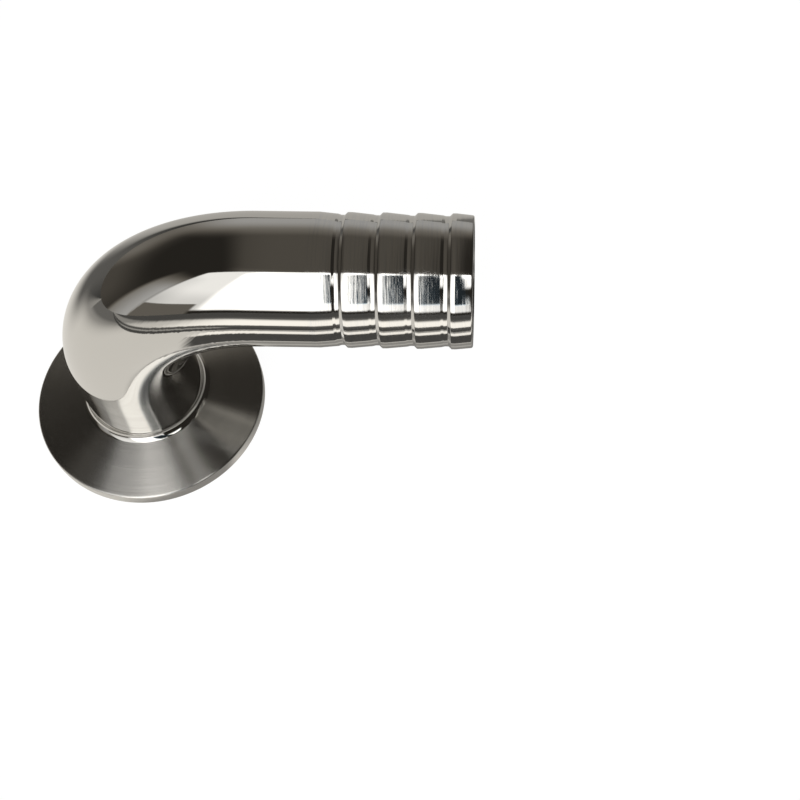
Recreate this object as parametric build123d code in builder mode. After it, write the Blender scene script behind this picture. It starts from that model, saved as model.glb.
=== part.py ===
from build123d import *
import math
import os

# Tube
tube_diameter = 25.4
tube_wall = 1.5
bend_radius = 32.4
arm_height = 51.65
arm_length = 73.0

# Clamp ferrule, whose short neck is welded to the tube
ferrule_diameter = 50.5
rim_thickness = 2.85
rim_edge_bevel = 0.3
back_taper = 20.0
neck_bevel = 1.4
neck_length = 2.0

# Gasket groove in the ferrule's face
gasket_diameter = 43.6
gasket_groove_width = 3.6
gasket_groove_floor = 1.6
gasket_groove_depth = 1.4

# Barbs, turned into the free end of the arm
barb_count = 4
barb_pitch = 6.52
crest_land = 0.8
barb_drop = 0.39
groove_depth = 0.53
groove_lead_in = 0.55
groove_floor = 0.75
groove_rise = 0.55
last_barb_length = 4.05
first_taper_length = 3.4
first_taper_drop = 0.33
hose_end_bevel = 0.35
hose_end_inner_bevel = 0.3

tube_radius = tube_diameter / 2
bore_radius = tube_radius - tube_wall
ferrule_radius = ferrule_diameter / 2
bend_start = arm_height - bend_radius
neck_foot = rim_thickness + (ferrule_radius - tube_radius) * math.tan(math.radians(back_taper))
neck_height = neck_foot + neck_length


# Clamp ferrule, turned about the upright axis
rim_bottom = (ferrule_radius, 0)
rim_top = (ferrule_radius, rim_thickness)
neck_corner = (tube_radius, neck_foot)
gasket_radius = gasket_diameter / 2
gasket_groove = [
    (gasket_radius - gasket_groove_width / 2, 0),
    (gasket_radius - gasket_groove_floor / 2, gasket_groove_depth),
    (gasket_radius + gasket_groove_floor / 2, gasket_groove_depth),
    (gasket_radius + gasket_groove_width / 2, 0),
]


def corner(sketch, point):
    return sketch.vertices().sort_by_distance(point)[0]


with BuildPart() as ferrule:
    with BuildSketch(Plane.XZ) as section:
        with BuildLine():
            Polyline(
                (bore_radius, 0),
                rim_bottom,
                rim_top,
                neck_corner,
                (tube_radius, neck_height),
                (bore_radius, neck_height),
                close=True,
            )
        make_face()
        chamfer(corner(section, rim_bottom), rim_edge_bevel)
        chamfer(corner(section, rim_top), rim_edge_bevel)
        chamfer(corner(section, neck_corner), neck_bevel)
        with BuildLine():
            Polyline(*gasket_groove, close=True)
        make_face(mode=Mode.SUBTRACT)
    revolve(axis=Axis.Z)

ferrule.part.label = "clamp_ferrule"


# Cuts in the arm, as points (distance along the arm, height above its centre line)
groove_length = groove_lead_in + groove_floor + groove_rise
barb_slope = barb_drop / (barb_pitch - groove_length - crest_land)
first_crest = arm_length - last_barb_length - (barb_count - 1) * barb_pitch
hose_end_radius = tube_radius - barb_slope * (last_barb_length - crest_land)
clear_radius = tube_radius + 1


def groove_before(crest, taper_length, taper_drop):
    groove_start = crest - groove_length
    floor_end = crest - groove_rise
    floor_radius = tube_radius - groove_depth
    return [
        (groove_start - taper_length, tube_radius),
        (groove_start, tube_radius - taper_drop),
        (floor_end - groove_floor, floor_radius),
        (floor_end, floor_radius),
        (crest, tube_radius),
        (crest, clear_radius),
        (groove_start - taper_length, clear_radius),
    ]


def cuts():
    outlines = [groove_before(first_crest, first_taper_length, first_taper_drop)]
    for barb in range(1, barb_count):
        crest = first_crest + barb * barb_pitch
        outlines.append(groove_before(crest, barb_pitch - groove_length - crest_land, barb_drop))
    outlines.append([
        (arm_length - last_barb_length + crest_land, tube_radius),
        (arm_length - hose_end_bevel, hose_end_radius),
        (arm_length, hose_end_radius - hose_end_bevel),
        (arm_length + 1, hose_end_radius - hose_end_bevel),
        (arm_length + 1, clear_radius),
        (arm_length - last_barb_length + crest_land, clear_radius),
    ])
    outlines.append([
        (arm_length - hose_end_inner_bevel, bore_radius),
        (arm_length, bore_radius + hose_end_inner_bevel),
        (arm_length + 1, bore_radius + hose_end_inner_bevel),
        (arm_length + 1, bore_radius - 1),
        (arm_length - hose_end_inner_bevel, bore_radius - 1),
    ])
    return outlines


# Barbed elbow, a tube with a short rise from the weld, a quarter bend and the arm, its barbs cut after
with BuildPart() as elbow:
    with BuildSketch(Plane.XY.offset(neck_height)):
        Circle(tube_radius)
        Circle(bore_radius, mode=Mode.SUBTRACT)
    extrude(amount=bend_start - neck_height)

    with BuildSketch(Plane.XY.offset(bend_start)):
        Circle(tube_radius)
        Circle(bore_radius, mode=Mode.SUBTRACT)
    revolve(axis=Axis((bend_radius, 0, bend_start), (0, 1, 0)), revolution_arc=90)

    with BuildSketch(Plane(origin=(bend_radius, 0, arm_height), x_dir=(0, 0, -1), z_dir=(1, 0, 0))):
        Circle(tube_radius)
        Circle(bore_radius, mode=Mode.SUBTRACT)
    extrude(amount=arm_length - bend_radius)

    with BuildSketch(Plane(origin=(0, 0, arm_height), x_dir=(1, 0, 0), z_dir=(0, -1, 0))):
        for outline in cuts():
            with BuildLine():
                Polyline(*outline, close=True)
            make_face()
    revolve(axis=Axis((0, 0, arm_height), (1, 0, 0)), mode=Mode.SUBTRACT)

elbow.part.label = "barbed_elbow"


# One file for each piece
os.makedirs("parts", exist_ok=True)
for piece in (ferrule.part, elbow.part):
    export_step(piece, "parts/" + piece.label + ".step")
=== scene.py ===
import bpy
import bmesh
import math
from mathutils import Matrix, Vector


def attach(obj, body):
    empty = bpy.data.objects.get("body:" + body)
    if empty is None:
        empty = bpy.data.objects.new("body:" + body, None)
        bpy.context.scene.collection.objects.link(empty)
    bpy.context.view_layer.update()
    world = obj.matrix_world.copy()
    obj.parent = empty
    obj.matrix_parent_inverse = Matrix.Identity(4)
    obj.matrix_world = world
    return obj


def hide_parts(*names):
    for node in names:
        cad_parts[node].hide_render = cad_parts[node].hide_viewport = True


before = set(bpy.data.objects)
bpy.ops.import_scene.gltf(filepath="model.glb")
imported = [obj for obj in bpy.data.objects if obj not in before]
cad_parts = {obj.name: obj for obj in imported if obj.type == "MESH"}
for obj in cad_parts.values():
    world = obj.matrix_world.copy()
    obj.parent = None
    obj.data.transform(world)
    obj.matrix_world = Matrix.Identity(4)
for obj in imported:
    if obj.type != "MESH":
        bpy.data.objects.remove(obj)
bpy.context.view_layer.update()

# Camera
camera_place = Vector((0.07571739, -0.12259563, 0.24415053))
camera_right = Vector((0.999816448, 0.018787817, -0.003753413))
camera_down = Vector((0.015399004, -0.904585393, -0.426014246))
camera_ahead = Vector((-0.011399161, 0.425878251, -0.904708668))

camera_data = bpy.data.cameras.new("camera")
camera_data.sensor_width = 36.0
camera_data.lens = 1201.622 * 36.0 / 800.0
camera_data.shift_x = -(472.2765 - 400.0) / 800.0
camera_data.shift_y = (435.6629 - 400.0) / 800.0
camera_data.clip_start = 0.01
camera_data.clip_end = 20.0
camera = bpy.data.objects.new("camera", camera_data)
bpy.context.scene.collection.objects.link(camera)
turn = Matrix((camera_right, -camera_down, -camera_ahead)).transposed()
camera.matrix_world = Matrix.Translation(camera_place) @ turn.to_4x4()
bpy.context.scene.camera = camera
bpy.context.scene.view_settings.view_transform = "Standard"


# Shader maths
class Value:
    """The socket of a node, on which Python's operators add Math nodes."""

    def __init__(self, graph, socket):
        self.graph = graph
        self.socket = socket

    def out(self, name):
        return Value(self.graph, self.socket.node.outputs[name])

    def maths(self, operation, a, b=0.0):
        return self.graph.node("ShaderNodeMath", {"operation": operation}, {0: a, 1: b})

    def __add__(self, other):
        return self.maths("ADD", self, other)

    def __radd__(self, other):
        return self.maths("ADD", other, self)

    def __sub__(self, other):
        return self.maths("SUBTRACT", self, other)

    def __rsub__(self, other):
        return self.maths("SUBTRACT", other, self)

    def __mul__(self, other):
        return self.maths("MULTIPLY", self, other)

    def __rmul__(self, other):
        return self.maths("MULTIPLY", other, self)

    def __truediv__(self, other):
        return self.maths("DIVIDE", self, other)

    def __neg__(self):
        return self.maths("MULTIPLY", self, -1.0)

    def __abs__(self):
        return self.maths("ABSOLUTE", self)


class Graph:
    """The nodes of one material or of the studio."""

    def __init__(self, owner):
        owner.use_nodes = True
        self.tree = owner.node_tree
        self.tree.nodes.clear()

    def node(self, kind, settings=None, sockets=None):
        node = self.tree.nodes.new(kind)
        for name, setting in (settings or {}).items():
            setattr(node, name, setting)
        for name, value in (sockets or {}).items():
            if isinstance(value, Value):
                self.tree.links.new(value.socket, node.inputs[name])
            else:
                node.inputs[name].default_value = value
        return Value(self, node.outputs[0]) if node.outputs else None

    def split(self, vector):
        parts = self.node("ShaderNodeSeparateXYZ", None, {0: vector})
        return parts.out("X"), parts.out("Y"), parts.out("Z")

    def rise(self, value, low, high):
        """Goes smoothly from 0 at low to 1 at high."""
        return self.node("ShaderNodeMapRange", {"interpolation_type": "SMOOTHSTEP", "clamp": True},
                         {"Value": value, "From Min": low, "From Max": high, "To Min": 0.0, "To Max": 1.0})

    def fall(self, value, low, high):
        """Goes smoothly from 1 at low to 0 at high."""
        return self.node("ShaderNodeMapRange", {"interpolation_type": "SMOOTHSTEP", "clamp": True},
                         {"Value": value, "From Min": low, "From Max": high, "To Min": 1.0, "To Max": 0.0})

    def band(self, value, low, high, soft):
        """1 between low and high, with soft edges."""
        return self.rise(value, low - soft, low + soft) * self.fall(value, high - soft, high + soft)

    def noise(self, vector, scale, detail=2.0, roughness=0.5):
        """Noise stretched by a scale for each direction, around 0.5."""
        at = self.node("ShaderNodeMapping", None, {"Vector": vector, "Scale": scale})
        return self.node("ShaderNodeTexNoise", {"noise_dimensions": "3D", "normalize": True},
                         {"Vector": at, "Scale": 1.0, "Detail": detail, "Roughness": roughness})

    def tint(self, factor, first, second):
        return self.node("ShaderNodeMix", {"data_type": "RGBA"},
                         {"Factor": factor, 6: first, 7: second}).out(2)


def laid(under, over, mask):
    """The tone over, laid on the tone under where the mask is 1."""
    return under + (over - under) * mask


# Sizes, in metres, as on the CAD pieces
mm = 0.001
tube_radius = 12.7 * mm
bore_radius = 11.2 * mm
bend_radius = 32.4 * mm
arm_height = 51.65 * mm
arm_end = 73.0 * mm
bend_start = arm_height - bend_radius
ferrule_radius = 25.25 * mm
rim_thickness = 2.85 * mm
rim_rounding = 0.3 * mm
taper = math.tan(math.radians(20.0))
neck_foot = rim_thickness + (ferrule_radius - tube_radius) * taper
neck_top = neck_foot + 2.0 * mm
neck_rounding = 1.4 * mm
gasket_radius = 21.8 * mm
groove_half_width = 1.8 * mm
groove_half_floor = 0.8 * mm
gasket_depth = 1.4 * mm
barb_count = 4
barb_pitch = 6.52 * mm
barb_drop = 0.39 * mm
barb_groove_depth = 0.53 * mm
barb_groove_floor = 0.75 * mm
barb_rise = 0.55 * mm
barb_groove_length = 0.55 * mm + barb_groove_floor + barb_rise
crest_land = 0.8 * mm
last_barb_length = 4.05 * mm
first_taper_length = 3.4 * mm
first_taper_drop = 0.33 * mm
first_crest = arm_end - last_barb_length - (barb_count - 1) * barb_pitch
mouth_rounding = 0.35 * mm
mouth_bevel = 0.3 * mm


def near(a, b):
    return abs(a - b) < 0.004 * mm


def finished(name, mesh):
    """Turns a mesh in work into a piece of the fitting, with its faces pointing outwards."""
    bmesh.ops.remove_doubles(mesh, verts=mesh.verts, dist=1e-7)
    bmesh.ops.recalc_face_normals(mesh, faces=mesh.faces)
    data = bpy.data.meshes.new(name)
    mesh.to_mesh(data)
    mesh.free()
    data.shade_smooth()
    data.set_sharp_from_angle(angle=math.radians(30.0))
    piece = bpy.data.objects.new(name, data)
    bpy.context.scene.collection.objects.link(piece)
    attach(piece, "root")
    return piece


def rounded(mesh, edges, size, segments):
    bmesh.ops.bevel(mesh, geom=edges, offset=size, offset_type="OFFSET", affect="EDGES",
                    segments=segments, profile=0.5, material=-1)


# Clamp ferrule: its section is spun about the upright axis
def make_ferrule():
    mesh = bmesh.new()

    def on_back(radius):
        return radius, 0, rim_thickness + (ferrule_radius - radius) * taper

    support = 0.5 * mm
    section = [
        (bore_radius, 0, 0),
        (gasket_radius - groove_half_width - support, 0, 0),
        (gasket_radius - groove_half_width, 0, 0),
        (gasket_radius - groove_half_floor, 0, gasket_depth),
        (gasket_radius + groove_half_floor, 0, gasket_depth),
        (gasket_radius + groove_half_width, 0, 0),
        (gasket_radius + groove_half_width + support, 0, 0),
        (ferrule_radius - support, 0, 0),
        (ferrule_radius, 0, 0),
        (ferrule_radius, 0, support),
        (ferrule_radius, 0, rim_thickness - support),
        on_back(ferrule_radius),
        on_back(ferrule_radius - support),
        on_back(tube_radius + 1.6 * mm),
        on_back(tube_radius),
        (tube_radius, 0, neck_foot + 1.6 * mm),
        (tube_radius, 0, neck_top),
        (bore_radius, 0, neck_top),
    ]
    points = [mesh.verts.new(p) for p in section]
    lines = [mesh.edges.new(pair) for pair in zip(points, points[1:] + points[:1])]
    bmesh.ops.spin(mesh, geom=points + lines, cent=(0, 0, 0), axis=(0, 0, 1),
                   angle=2 * math.pi, steps=192, use_merge=True)

    def ring(radius, height):
        return [e for e in mesh.edges
                if all(near(math.hypot(v.co.x, v.co.y), radius) and near(v.co.z, height) for v in e.verts)]

    rounded(mesh, ring(ferrule_radius, 0), rim_rounding, 4)
    rounded(mesh, ring(ferrule_radius, rim_thickness), rim_rounding, 4)
    rounded(mesh, ring(tube_radius, neck_foot), neck_rounding, 8)
    rounded(mesh, ring(gasket_radius - groove_half_floor, gasket_depth), 0.5 * mm, 4)
    rounded(mesh, ring(gasket_radius + groove_half_floor, gasket_depth), 0.5 * mm, 4)
    return finished("ferrule_turned", mesh)


# Barbed elbow: one ring carried up from the weld, round the bend and along the arm
def arm_stations():
    """Places along the arm with the radius there, from the first taper to the mouth."""
    stations = [
        (first_crest - barb_groove_length - first_taper_length, tube_radius),
        (first_crest - barb_groove_length, tube_radius - first_taper_drop),
    ]
    for barb in range(barb_count):
        crest = first_crest + barb * barb_pitch
        stations.append((crest - barb_rise - barb_groove_floor, tube_radius - barb_groove_depth))
        stations.append((crest - barb_rise, tube_radius - barb_groove_depth))
        stations.append((crest, tube_radius))
        stations.append((crest + crest_land, tube_radius))
        if barb < barb_count - 1:
            stations.append((crest + barb_pitch - barb_groove_length, tube_radius - barb_drop))
    slope = barb_drop / (barb_pitch - barb_groove_length - crest_land)
    stations.append((arm_end, tube_radius - slope * (last_barb_length - crest_land)))
    return stations


def make_elbow():
    mesh = bmesh.new()
    circle = bmesh.ops.create_circle(mesh, cap_ends=False, segments=160, radius=tube_radius)["verts"]
    bmesh.ops.translate(mesh, verts=circle, vec=(0, 0, neck_top))
    first_ring = list({e for v in circle for e in v.link_edges})

    def edges_of(made):
        return [g for g in made if isinstance(g, bmesh.types.BMEdge)]

    def carried(ring, move, radius=None, radius_before=None):
        made = bmesh.ops.extrude_edge_only(mesh, edges=ring)["geom"]
        verts = [g for g in made if isinstance(g, bmesh.types.BMVert)]
        bmesh.ops.translate(mesh, verts=verts, vec=move)
        if radius is not None:
            size = radius / radius_before
            arm_axis = Matrix.Translation((0, 0, -arm_height))
            bmesh.ops.scale(mesh, verts=verts, vec=(1, size, size), space=arm_axis)
        return edges_of(made)

    def bent(ring, angle):
        verts = list({v for e in ring for v in e.verts})
        made = bmesh.ops.spin(mesh, geom=verts + ring, cent=(bend_radius, 0, bend_start), axis=(0, 1, 0),
                              angle=angle, steps=96, use_merge=False)["geom_last"]
        return edges_of(made)

    ring = carried(first_ring, (0, 0, bend_start - neck_top))
    ring = bent(ring, math.pi / 2)
    here, radius_here = bend_radius, tube_radius
    outside = arm_stations()
    inside = [(arm_end, bore_radius + mouth_bevel), (arm_end - mouth_bevel, bore_radius)]
    for place, radius in outside + inside:
        ring = carried(ring, (place - here, 0, 0), radius, radius_here)
        here, radius_here = place, radius
    ring = carried(ring, (bend_radius - here, 0, 0))
    ring = bent(ring, -math.pi / 2)
    carried(ring, (0, 0, neck_top - bend_start))
    bmesh.ops.remove_doubles(mesh, verts=mesh.verts, dist=1e-7)

    def arm_ring(place, radius):
        return [e for e in mesh.edges
                if all(near(v.co.x, place) and near(math.hypot(v.co.y, v.co.z - arm_height), radius)
                       for v in e.verts)]

    turned_edges = [e for station in outside[1:-1] for e in arm_ring(*station)]
    mouth_edge = arm_ring(*outside[-1])
    rounded(mesh, turned_edges, 0.07 * mm, 2)
    rounded(mesh, mouth_edge, mouth_rounding, 4)
    bmesh.ops.bridge_loops(mesh, edges=[e for e in mesh.edges if e.is_boundary])
    return finished("elbow_polished", mesh)


ferrule = make_ferrule()
elbow = make_elbow()
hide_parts("clamp_ferrule")
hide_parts("barbed_elbow")


# Polished tube, with the turned barbs
def polished_steel():
    material = bpy.data.materials.new("polished_steel_finish")
    g = Graph(material)
    place = g.node("ShaderNodeTexCoord").out("Object")
    x, y, z = (part * 1000.0 for part in g.split(place))

    # The lathe has only touched the arm from a little before the barbs
    turned = g.rise(x, 42.5, 43.2)
    fine_lines = g.noise(place, (9000.0, 120.0, 120.0), 2.0, 0.6)
    broad_lines = g.noise(place, (2600.0, 90.0, 90.0), 3.0, 0.6)
    polishing = g.noise(place, (500.0, 500.0, 500.0), 4.0, 0.6)
    smudges = g.noise(place, (90.0, 90.0, 90.0), 3.0, 0.55)

    # Marks left by the belt, running down and away from the bend on its front
    belt = g.node("ShaderNodeMapping", {"vector_type": "POINT"},
                  {"Vector": place, "Rotation": (0.0, math.radians(-42.0), 0.0)})
    belt_marks = g.noise(belt, (1500.0, 60.0, 60.0), 2.0, 0.5)
    belted = g.band(x, 9.0, 33.0, 5.0) * g.fall(y, -9.5, -6.0) * g.band(z, 40.0, 54.0, 4.0)

    height = (turned * (fine_lines * 0.4 + broad_lines * 1.1)
              + (1.0 - turned) * (polishing * 0.06 + belted * belt_marks * 2.6))
    surface = g.node("ShaderNodeBump", None, {"Strength": 1.0, "Distance": 1e-5, "Height": height})

    roughness = 0.03 + 0.05 * g.rise(smudges, 0.5, 0.75) + turned * (0.01 + 0.04 * broad_lines)
    streaks = turned * g.rise(broad_lines, 0.42, 0.66)
    steel = g.tint(streaks * 0.35, (0.66, 0.648, 0.622, 1.0), (0.54, 0.55, 0.57, 1.0))
    shader = g.node("ShaderNodeBsdfPrincipled", None,
                    {"Base Color": steel, "Metallic": 1.0, "Roughness": roughness, "Normal": surface})
    g.node("ShaderNodeOutputMaterial", None, {"Surface": shader})
    return material


# Turned ferrule, with its polished neck
def turned_steel():
    material = bpy.data.materials.new("turned_steel_finish")
    g = Graph(material)
    place = g.node("ShaderNodeTexCoord").out("Object")
    x, y, z = g.split(place)
    from_axis = g.node("ShaderNodeMath", {"operation": "SQRT"}, {0: x * x + y * y})
    along = g.node("ShaderNodeCombineXYZ", None, {0: from_axis + z, 1: x, 2: y})
    fine_lines = g.noise(along, (8000.0, 60.0, 60.0), 2.0, 0.6)
    broad_lines = g.noise(along, (1500.0, 25.0, 25.0), 3.0, 0.6)
    smudges = g.noise(place, (110.0, 110.0, 110.0), 3.0, 0.55)

    polished = g.fall(from_axis * 1000.0, 13.8, 14.2) * g.rise(z * 1000.0, 3.0, 4.0)
    height = (1.0 - polished) * (fine_lines * 0.35 + broad_lines * 0.9)
    surface = g.node("ShaderNodeBump", None, {"Strength": 1.0, "Distance": 1e-5, "Height": height})
    roughness = laid(0.20 + 0.06 * smudges, 0.05, polished)
    steel = g.tint(g.rise(broad_lines, 0.35, 0.7) * 0.5, (0.65, 0.64, 0.615, 1.0), (0.56, 0.55, 0.53, 1.0))
    shader = g.node("ShaderNodeBsdfPrincipled", None,
                    {"Base Color": steel, "Metallic": 1.0, "Roughness": roughness, "Normal": surface,
                     "Anisotropic": 0.85, "Anisotropic Rotation": 0.25})
    g.node("ShaderNodeOutputMaterial", None, {"Surface": shader})
    return material


polished_finish = polished_steel()
turned_finish = turned_steel()
elbow.data.materials.append(polished_finish)
ferrule.data.materials.append(turned_finish)
for node, finish in (("clamp_ferrule", turned_finish), ("barbed_elbow", polished_finish)):
    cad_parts[node].data.materials.clear()
    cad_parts[node].data.materials.append(finish)


# Floor: an even white to the camera, with painted light and shade in its reflections
def floor_finish():
    material = bpy.data.materials.new("pale_floor_painted_reflections")
    g = Graph(material)
    x, y, _ = (part * 1000.0 for part in g.split(g.node("ShaderNodeTexCoord").out("Object")))
    far = g.node("ShaderNodeMath", {"operation": "SQRT"}, {0: x * x + y * y})
    left = -x
    across = y - 0.35 * g.node("ShaderNodeMath", {"operation": "MINIMUM"}, {0: x, 1: 0.0})
    right = g.rise(x, -6.0, 4.0)
    behind = g.rise(y, 0.0, 1.0)
    bearing = g.node("ShaderNodeMath", {"operation": "ARCTAN2"}, {0: y, 1: left}) * (180.0 / math.pi)

    # Painted reflections: the floor's tone for glossy rays, darker to the left, behind and far off, with
    # painted bright and dark zones in front
    tone = 0.78 - 0.45 * g.rise(left, 90.0, 260.0)
    tone = tone - behind * 0.32 * g.rise(y, 20.0, 90.0)
    tone = laid(tone, 0.09, g.rise(far, 50.0, 125.0) * g.band(bearing, 13.0, 54.0, 15.0) * behind)
    tone = laid(tone, 0.22, g.band(y, -14.0, 34.0, 8.0) * g.rise(x, 16.0, 30.0))
    tone = tone * (1.0 - 0.65 * g.rise(x, 75.0, 110.0) * g.rise(y, -90.0, -50.0))
    tone = laid(tone, 1.4 - 0.7 * g.rise(left, 0.0, 110.0), g.fall(across, -124.0, -121.0))
    tone = laid(tone, 0.11, g.fall(across, -270.0, -185.0))
    # Painted reflections: dark and bright bands across the floor in front of the fitting
    for shade, low, high, soft, where in (
        (0.35, -121.0, -84.0, 1.5, None),
        (0.04, -96.0, -84.0, 1.5, None),
        (0.06, -116.0, -104.0, 2.0, None),
        (0.04, -104.0, -90.0, 2.0, right),
        (0.40, -84.0, -76.0, 1.5, right),
        (1.30, -75.0, -63.0, 1.5, right),
        (0.30, -27.0, -16.0, 2.0, right),
    ):
        mask = g.band(across, low, high, soft)
        tone = laid(tone, shade, mask if where is None else mask * where)
    # Painted shade: a dark patch on the floor beside the arm, seen only in reflections
    tone = laid(tone, 0.04, g.band(y, -61.0, -29.0, 1.5) * g.rise(x - 0.3 * (y + 61.0), -3.0, 1.0))
    tone = tone * (1.0 - 0.6 * g.rise(far, 240.0, 420.0) * (1.0 - behind))

    rays = g.node("ShaderNodeLightPath")
    seen = rays.out("Is Camera Ray")
    mirrored = rays.out("Is Glossy Ray")
    # Camera rays see an even white, glossy rays the painted reflection tone tinted warm, other rays an even
    # glow
    strength = laid(laid(0.85, tone, mirrored), 0.97, seen)
    colour = g.tint(mirrored, (1.0, 1.0, 1.0, 1.0), (1.0, 0.965, 0.9, 1.0))
    glow = g.node("ShaderNodeEmission", None, {"Color": colour, "Strength": strength})
    matt = g.node("ShaderNodeBsdfDiffuse", None, {"Color": (0.12, 0.12, 0.12, 1.0)})
    both = g.node("ShaderNodeAddShader", None, {0: glow, 1: matt})
    g.node("ShaderNodeOutputMaterial", None, {"Surface": both})
    return material


floor_mesh = bmesh.new()
bmesh.ops.create_circle(floor_mesh, cap_ends=True, segments=96, radius=3.0)
floor_data = bpy.data.meshes.new("floor")
floor_mesh.to_mesh(floor_data)
floor_mesh.free()
floor = bpy.data.objects.new("floor", floor_data)
bpy.context.scene.collection.objects.link(floor)
floor.location = (0, 0, -0.05 * mm)
floor.data.materials.append(floor_finish())


# Studio: a tall window in front, dark walls, a low pale wall behind
def studio():
    world = bpy.data.worlds.new("studio")
    bpy.context.scene.world = world
    g = Graph(world)
    x, y, z = g.split(g.node("ShaderNodeTexCoord").out("Generated"))
    height = g.node("ShaderNodeMath", {"operation": "ARCSINE"}, {0: z}) * (180.0 / math.pi)
    # Degrees from the front, which is -Y, towards the left
    side = g.node("ShaderNodeMath", {"operation": "ARCTAN2"}, {0: -x, 1: -y}) * (180.0 / math.pi)
    away = abs(side)

    tone = 0.025 + 0.075 * g.band(x, -0.26, 0.2, 0.13) * g.rise(height, 25.0, 40.0)
    tone = tone + 0.03 * g.fall(away, 32.0, 60.0) * g.band(height, 64.0, 70.0, 3.0)
    tone = tone + 0.06 * g.band(side, 80.0, 150.0, 20.0) * g.fall(height, 4.0, 34.0)
    tone = tone + 0.42 * g.rise(away, 140.0, 168.0) * g.fall(height, 8.0, 46.0)
    tone = tone + 0.12 * g.band(side, 123.0, 147.0, 8.0) * g.fall(height, 4.0, 24.0)

    # Height on the flat window, as a share of its distance
    ahead = g.node("ShaderNodeMath", {"operation": "MAXIMUM"}, {0: -y, 1: 0.02})
    up = z / ahead
    under = g.fall(up, 2.52, 2.74)
    lean = height * height * 0.0015
    sill = g.band(side, 30.0, 57.0, 1.0) * g.fall(height, 12.0, 14.0)

    tone = laid(tone, 0.55 - 0.016 * (side - 57.0),
                g.band(side, 57.0, 76.0, 3.0) * g.fall(height, 26.0, 50.0))
    pane = 2.1 - (0.85 + 0.3 * g.fall(height, 16.0, 36.0)) * g.rise(side, 24.0, 29.0)
    pane = pane - 0.2 * g.rise(side, 40.0, 57.0) * g.fall(height, 44.0, 52.0)
    pane = pane - 0.8 * g.fall(side, -7.0, -4.0) * g.fall(height, 15.0, 17.0)
    pane = pane + 2.4 * g.fall(side, -4.0, 4.0) * g.rise(up, 2.3, 2.4)
    tone = laid(tone, pane, g.band(side, -20.0, 57.0, 1.5) * under * g.rise(height, 2.0, 6.0) * (1.0 - sill))
    tone = laid(tone, 0.16, sill)
    post = (g.fall(side + lean, -4.6, -3.4) * g.rise(side + 2.7 * lean, -17.5, -15.5)
            * g.rise(height, 15.0, 19.0) * g.fall(up, 2.3, 2.4))
    tone = laid(tone, 0.035 + 0.16 * g.rise(side + lean, -9.0, -4.5), post)
    tone = laid(tone, 1.7 + 1.2 * g.rise(up, 1.9, 2.1), g.fall(side + 2.7 * lean, -17.5, -15.5)
                * g.rise(side, -50.0, -47.0) * under * g.rise(height, 40.0, 47.0))

    seen = g.node("ShaderNodeLightPath").out("Is Camera Ray")
    colour = g.tint(g.rise(tone, 0.05, 0.5), (1.0, 0.9, 0.76, 1.0), (1.0, 0.99, 0.97, 1.0))
    colour = g.tint(post, colour, (0.62, 0.83, 1.0, 1.0))
    colour = g.tint(seen, colour, (1.0, 1.0, 1.0, 1.0))
    sky = g.node("ShaderNodeBackground", None, {"Color": colour, "Strength": laid(tone, 1.0, seen)})
    g.node("ShaderNodeOutputWorld", None, {"Surface": sky})


studio()
